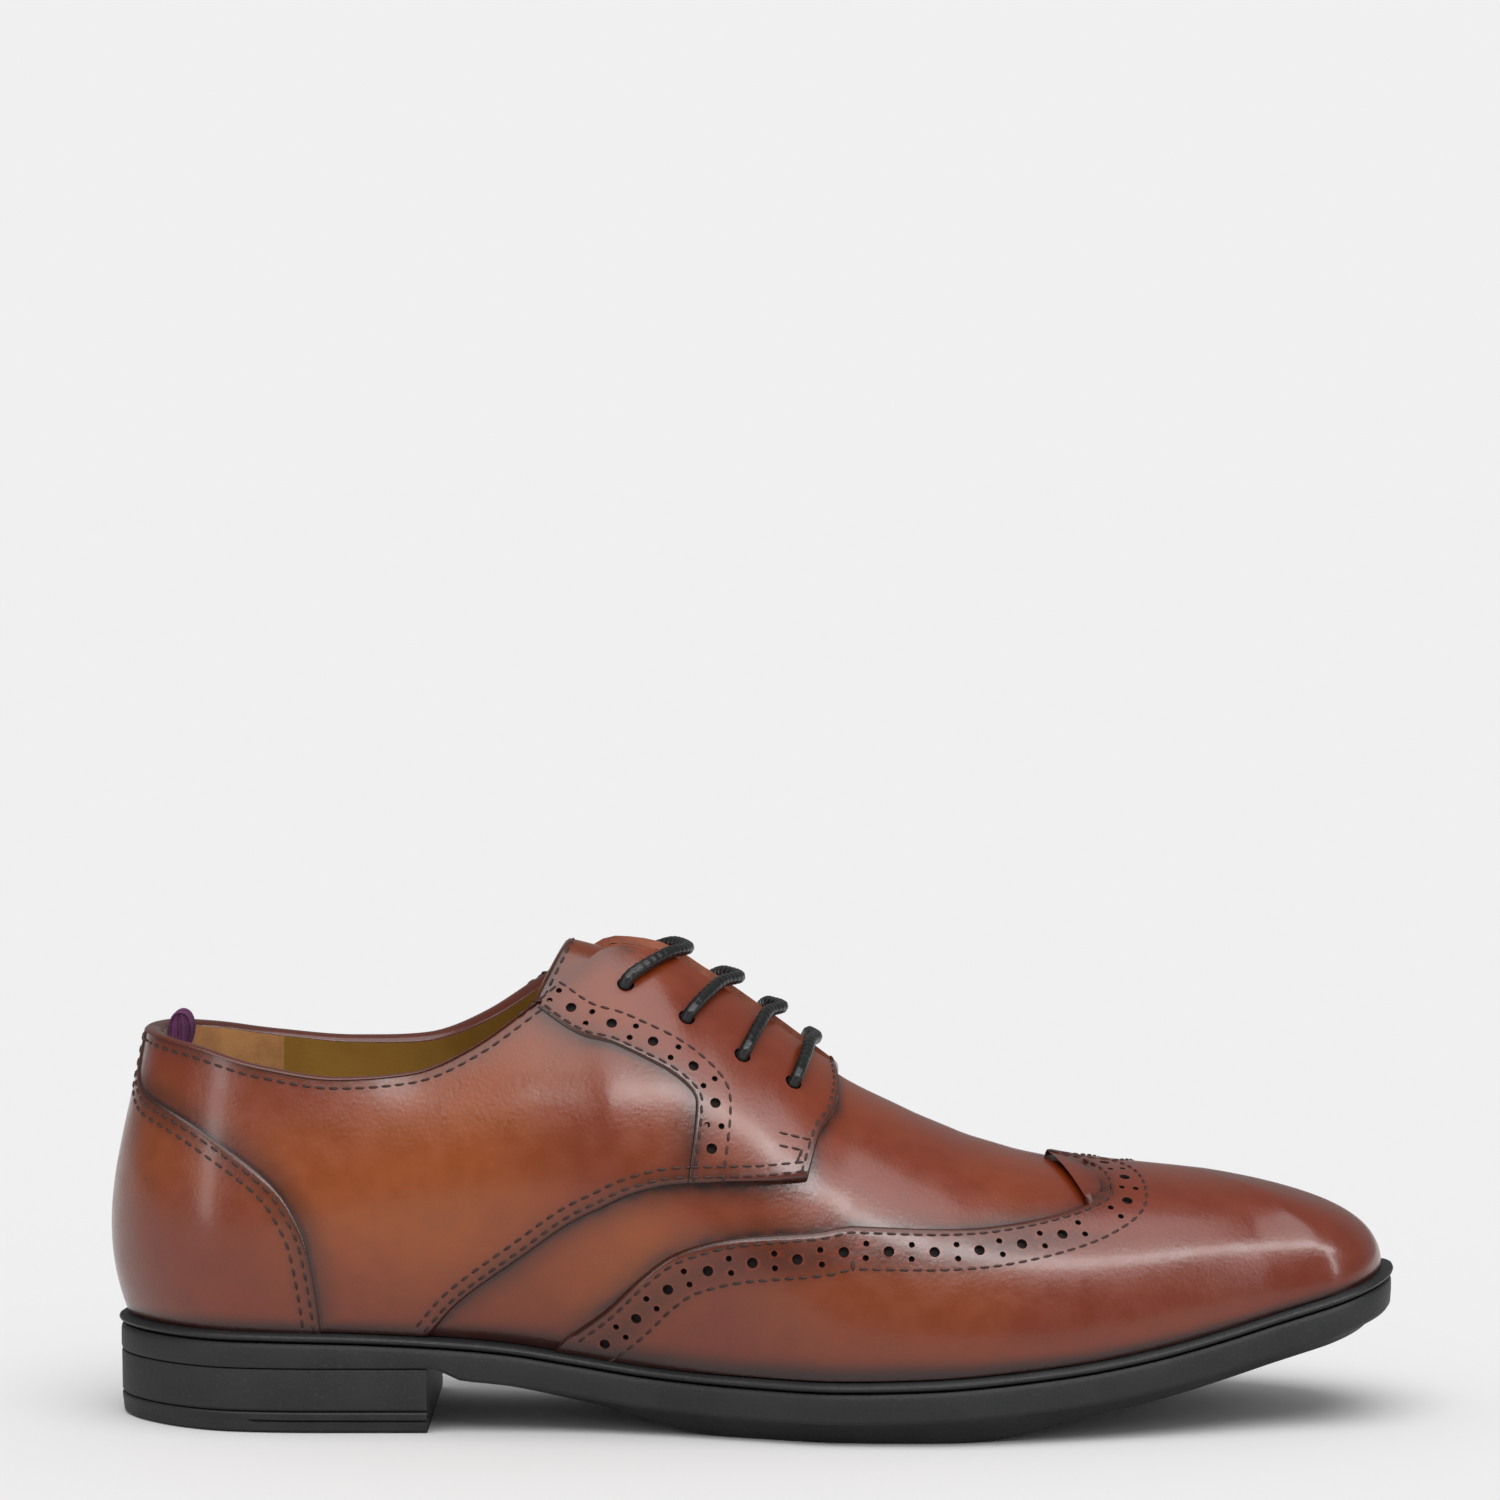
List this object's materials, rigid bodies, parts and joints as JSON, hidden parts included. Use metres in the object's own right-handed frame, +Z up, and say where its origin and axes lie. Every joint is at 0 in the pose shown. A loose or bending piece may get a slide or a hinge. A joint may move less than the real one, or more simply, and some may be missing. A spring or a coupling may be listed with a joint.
{
  "type": "brogue shoe",
  "caption": "Open-laced wing-tip brogue shoe with punched leather panels, round cord laces and a low block heel on a black rubber sole.",
  "frame": {"origin": "middle of the whole shoe's box, on the floor plane under the sole", "axes": "+X to the toe, -Y to the outer side of the foot, +Z up from the floor"},
  "size_m": [0.3168, 0.1048, 0.1173],
  "materials": {
    "vamp_leather": "polished",
    "quarter_leather": "polished",
    "cap_leather": "polished",
    "facing_leather": "polished",
    "tongue_leather": "satin",
    "insole_leather": "matte",
    "sole_rubber": "matte",
    "welt_rubber": "matte",
    "loop_tape": "matte",
    "lace_cord": "waxed"
  },
  "bodies": {
    "root": {"upper": "vamp_leather", "quarter_outer": "quarter_leather", "quarter_inner": "quarter_leather", "facing_outer": "facing_leather", "facing_inner": "facing_leather", "wing_cap": "cap_leather", "heel_counter": "cap_leather", "tongue": "tongue_leather", "insole": "insole_leather", "outsole": "sole_rubber", "heel_block": "sole_rubber", "top_lift": "sole_rubber", "welt": "welt_rubber", "pull_loop": "loop_tape", "lace_crossing_1": "lace_cord", "lace_crossing_2": "lace_cord", "lace_crossing_3": "lace_cord", "lace_bar": "lace_cord"}
  },
  "joints": []
}
